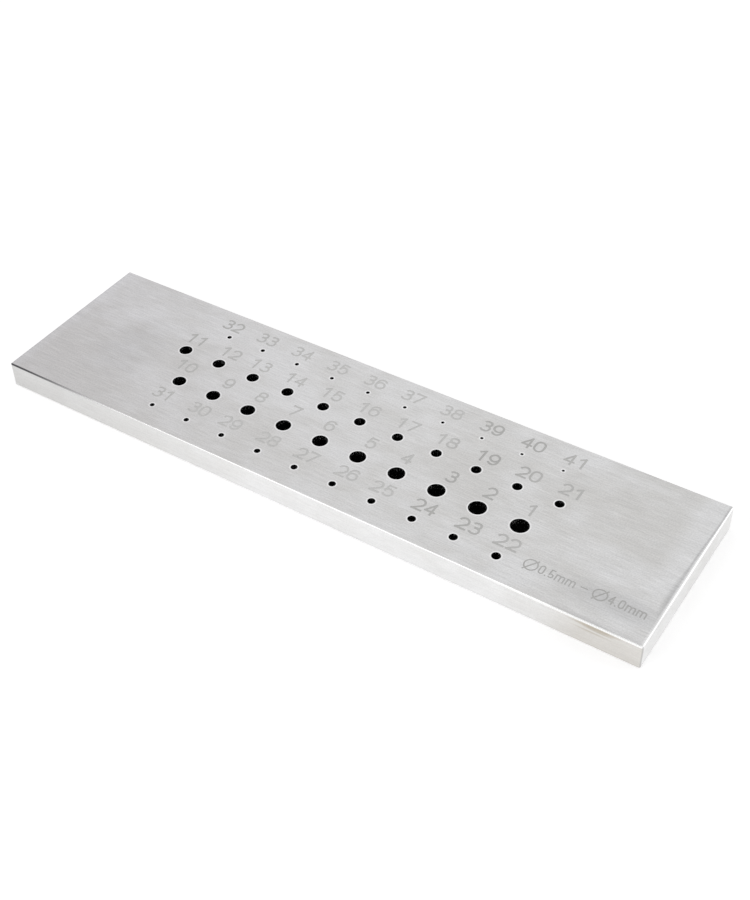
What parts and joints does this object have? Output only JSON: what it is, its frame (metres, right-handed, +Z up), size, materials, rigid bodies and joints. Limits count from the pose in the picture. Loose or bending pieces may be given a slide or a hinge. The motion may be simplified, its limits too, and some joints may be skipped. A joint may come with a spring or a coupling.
{
  "type": "wire draw plate",
  "caption": "Flat brushed steel bar with staggered rows of numbered, tapered round dies for pulling wire down to smaller diameters.",
  "frame": {"origin": "middle of the plain underside", "axes": "+X along the plate towards the size mark, +Y from the front edge to the back edge, +Z up out of the numbered face, the way the wire is pulled"},
  "size_m": [0.1644, 0.0442, 0.0064],
  "materials": {
    "steel": "hardened steel, ground and brushed along its length",
    "marking": "matt warm grey fill in shallow engraved strokes"
  },
  "bodies": {
    "root": {"plate": "steel", "number_01": "marking", "number_02": "marking", "number_03": "marking", "number_04": "marking", "number_05": "marking", "number_06": "marking", "number_07": "marking", "number_08": "marking", "number_09": "marking", "number_10": "marking", "number_11": "marking", "number_12": "marking", "number_13": "marking", "number_14": "marking", "number_15": "marking", "number_16": "marking", "number_17": "marking", "number_18": "marking", "number_19": "marking", "number_20": "marking", "number_21": "marking", "number_22": "marking", "number_23": "marking", "number_24": "marking", "number_25": "marking", "number_26": "marking", "number_27": "marking", "number_28": "marking", "number_29": "marking", "number_30": "marking", "number_31": "marking", "number_32": "marking", "number_33": "marking", "number_34": "marking", "number_35": "marking", "number_36": "marking", "number_37": "marking", "number_38": "marking", "number_39": "marking", "number_40": "marking", "number_41": "marking", "size_mark": "marking"}
  },
  "joints": []
}
